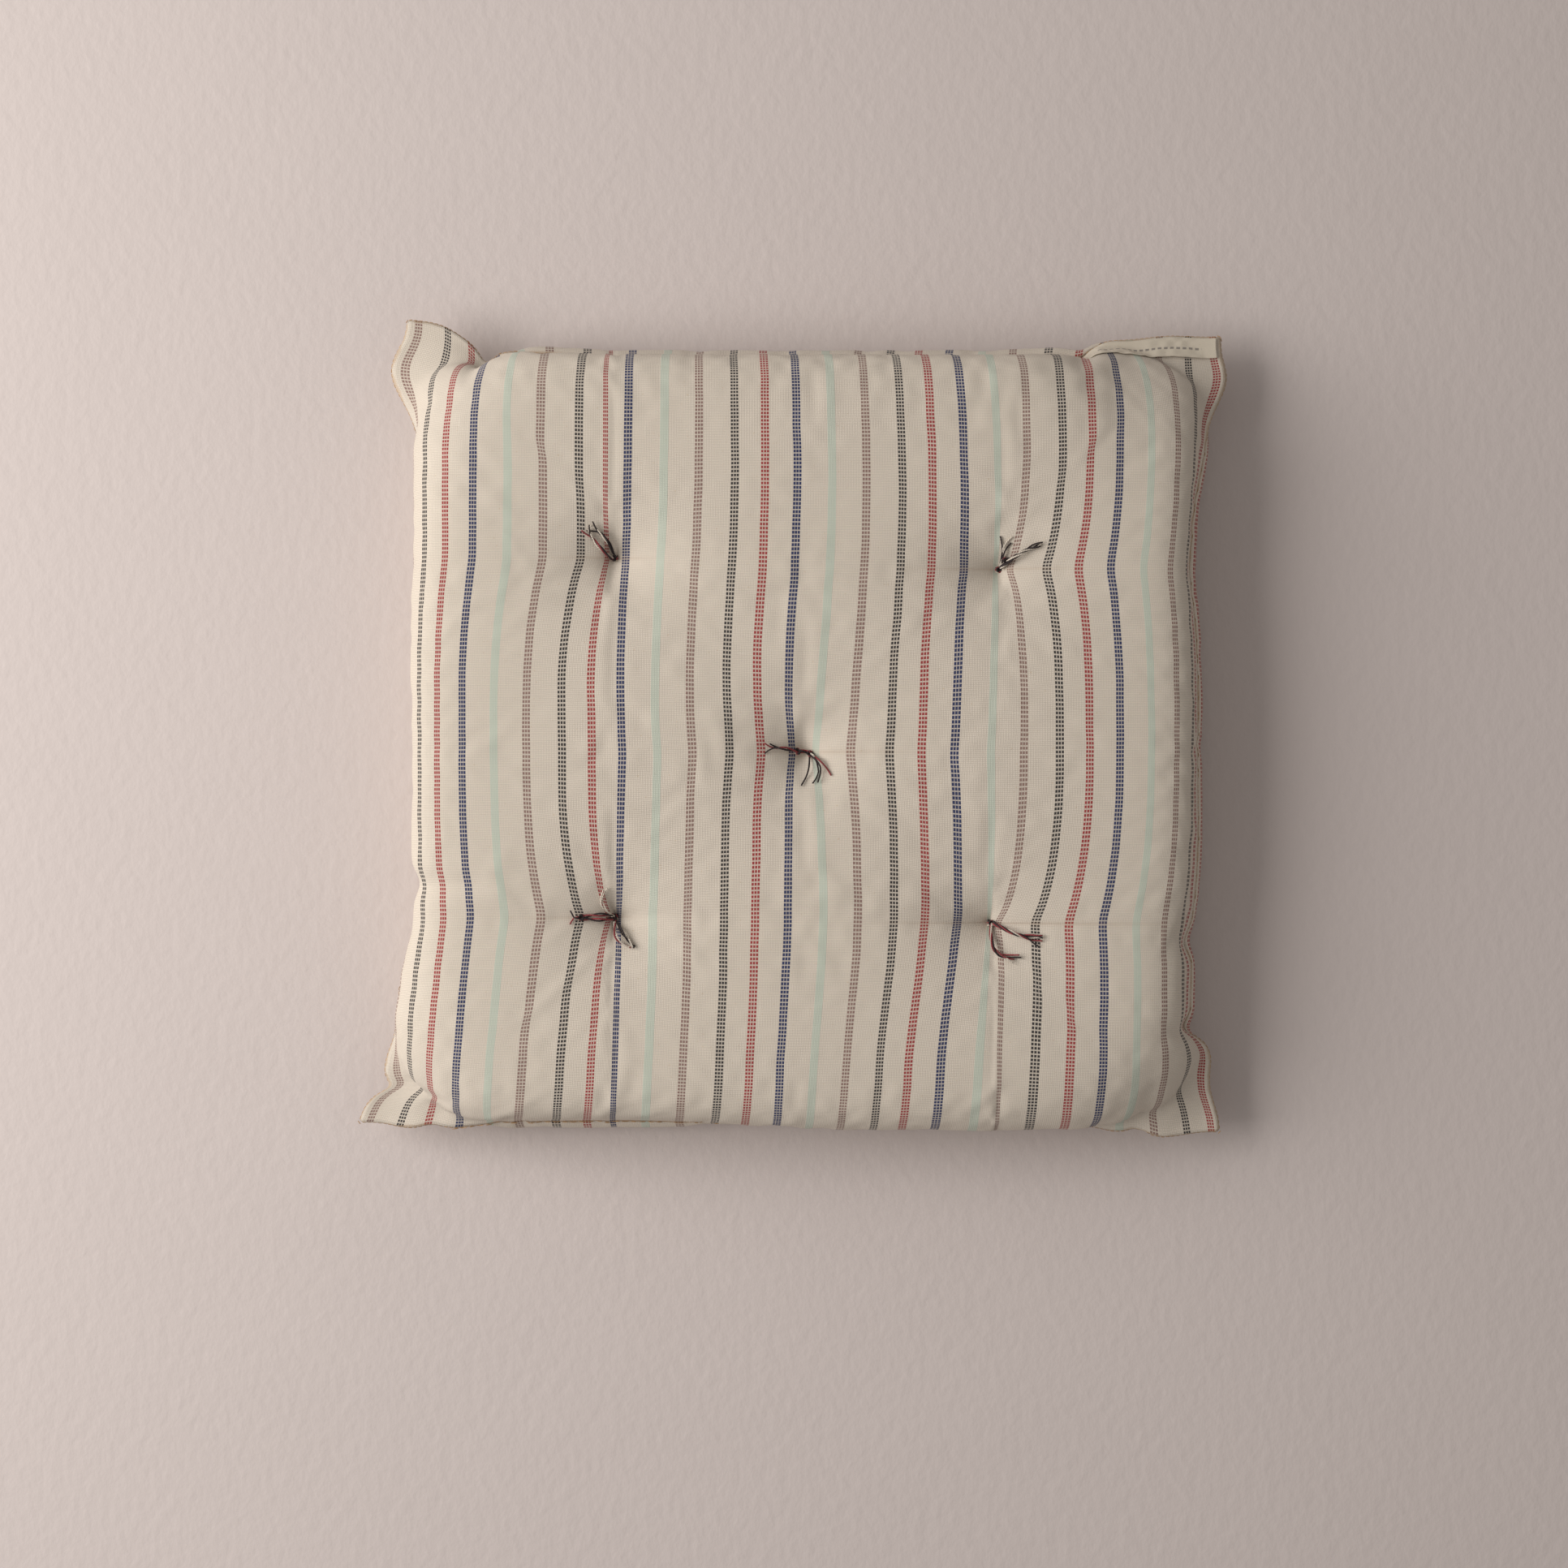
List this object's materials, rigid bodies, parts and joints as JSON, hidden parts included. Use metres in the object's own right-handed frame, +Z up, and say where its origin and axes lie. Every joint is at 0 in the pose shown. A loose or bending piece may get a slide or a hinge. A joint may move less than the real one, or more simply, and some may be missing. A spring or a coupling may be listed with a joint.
{
  "type": "floor cushion",
  "caption": "Square tufted floor cushion in cream handwoven cotton with thin coloured stripes, a knife-edge seam and flat corner ears; it rests on its back panel.",
  "frame": {"origin": "middle of the flat area of the back panel that the cushion rests on, which is the bottom centre of its box", "axes": "+Z up through the thickness, from the back panel to the tufted front; +Y towards the edge with the label tape; +X towards the corner with the label tape; the stripes run along Y"},
  "size_m": [0.45, 0.45, 0.06],
  "materials": {
    "striped_cotton": "matte",
    "fibre_filling": "matte",
    "label_cotton": "matte",
    "seam_thread": "matte",
    "yarn_cream": "matte",
    "yarn_crimson": "matte",
    "yarn_black": "matte"
  },
  "bodies": {
    "root": {"front_panel": "striped_cotton", "back_panel": "striped_cotton", "filling": "fibre_filling", "label_tape": "label_cotton", "seam_needle_thread": "seam_thread", "seam_bobbin_thread": "seam_thread", "closing_thread": "seam_thread", "middle_tie_cream": "yarn_cream", "middle_tie_crimson": "yarn_crimson", "middle_tie_black": "yarn_black", "top_right_tie_cream": "yarn_cream", "top_right_tie_crimson": "yarn_crimson", "top_right_tie_black": "yarn_black", "top_left_tie_cream": "yarn_cream", "top_left_tie_crimson": "yarn_crimson", "top_left_tie_black": "yarn_black", "bottom_left_tie_cream": "yarn_cream", "bottom_left_tie_crimson": "yarn_crimson", "bottom_left_tie_black": "yarn_black", "bottom_right_tie_cream": "yarn_cream", "bottom_right_tie_crimson": "yarn_crimson", "bottom_right_tie_black": "yarn_black"}
  },
  "joints": []
}
